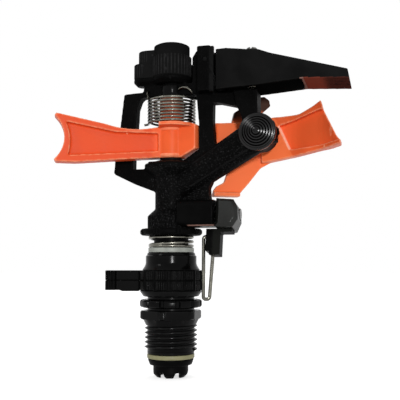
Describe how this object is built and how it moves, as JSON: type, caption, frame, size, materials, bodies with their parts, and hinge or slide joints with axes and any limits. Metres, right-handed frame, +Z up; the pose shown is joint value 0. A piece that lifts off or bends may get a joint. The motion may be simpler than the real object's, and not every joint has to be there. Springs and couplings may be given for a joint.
{
  "type": "impact sprinkler",
  "caption": "Part-circle plastic impact sprinkler with swinging arm, slanting nozzle tube, tilting jet deflector, arc stops and threaded inlet.",
  "frame": {"origin": "on the swivel axis at the underside of the hex, where the inlet thread ends", "axes": "+Z up along the swivel axis away from the water pipe, +X the way the nozzle points, +Y to the side that the arm swings to"},
  "size_m": [0.115, 0.0427, 0.1329],
  "materials": {
    "black_plastic": "fine satin grain",
    "black_gloss": "smooth gloss",
    "orange_plastic": "smooth semi-gloss",
    "white_plastic": "plain",
    "beige_plastic": "plain",
    "stainless_steel": "drawn wire and turned rod",
    "seal_rubber": "plain"
  },
  "bodies": {
    "base": {"inlet_nipple": "black_gloss", "upper_washer": "white_plastic", "seal_washer": "seal_rubber"},
    "lower_stop": {"lower_collar": "black_gloss"},
    "upper_stop": {"upper_collar": "black_gloss"},
    "head": {"sprinkler_body": "black_plastic", "spindle": "black_gloss", "wear_washer": "beige_plastic", "dust_ring": "black_plastic", "bearing_spring": "stainless_steel", "arm_shaft": "stainless_steel", "arm_lower_washer": "white_plastic", "arm_upper_washer": "black_plastic", "nozzle": "black_plastic", "nozzle_seal": "seal_rubber", "side_plug": "black_plastic", "plug_seal": "seal_rubber", "trip_housing": "black_plastic", "trip_pivot": "stainless_steel", "trip_spring": "stainless_steel", "visor_pin": "black_plastic", "stream_vane": "white_plastic"},
    "arm": {"drive_arm": "orange_plastic", "arm_spring": "stainless_steel"},
    "trip": {"trip_lever": "black_plastic", "trip_hanger": "black_plastic", "trip_wire": "stainless_steel"},
    "deflector": {"visor": "black_plastic"},
    "screw_seat": {"screw_washer": "stainless_steel"},
    "screw": {"visor_screw": "stainless_steel"},
    "cap": {"tension_cap": "black_plastic"}
  },
  "joints": [
    {"name": "body_swivel", "type": "hinge", "parent": "base", "child": "head", "pos_m": [0, 0, 0], "axis": [0, 0, 1], "range_deg": [-120, 150]},
    {"name": "lower_stop_turn", "type": "hinge", "parent": "base", "child": "lower_stop", "pos_m": [0, 0, 0.0132], "axis": [0, 0, 1], "range_deg": [-110, 110]},
    {"name": "upper_stop_turn", "type": "hinge", "parent": "base", "child": "upper_stop", "pos_m": [0, 0, 0.0171], "axis": [0, 0, 1], "range_deg": [-110, 110]},
    {"name": "arm_swing", "type": "hinge", "parent": "head", "child": "arm", "pos_m": [0, 0, 0.07], "axis": [0, 0, 1], "range_deg": [0, 105], "stiffness_Nm_per_rad": 0.004, "springref_deg": -28.65},
    {"name": "trip_rock", "type": "hinge", "parent": "head", "child": "trip", "pos_m": [0.02, 0, 0.0409], "axis": [1, 0, 0], "range_deg": [0, 24]},
    {"name": "visor_tilt", "type": "hinge", "parent": "head", "child": "deflector", "pos_m": [0.0157, 0, 0.102], "axis": [0, -1, 0], "range_deg": [-3, 8]},
    {"name": "screw_travel", "type": "slide", "parent": "head", "child": "screw_seat", "axis": [0, 0, 1], "range_m": [-0.0012, 0.0028]},
    {"name": "screw_spin", "type": "hinge", "parent": "screw_seat", "child": "screw", "pos_m": [0.0332, 0, 0.1], "axis": [0, 0, 1], "range_deg": [-330, 800]},
    {"name": "cap_turn", "type": "hinge", "parent": "head", "child": "cap", "pos_m": [0, 0, 0.1], "axis": [0, 0, 1], "range_deg": [-60, 60]}
  ],
  "couplings": [
    {"joint": "screw_travel", "follows": "visor_tilt", "m_per_rad": 0.0175},
    {"joint": "screw_spin", "follows": "visor_tilt", "ratio": 91.63}
  ]
}
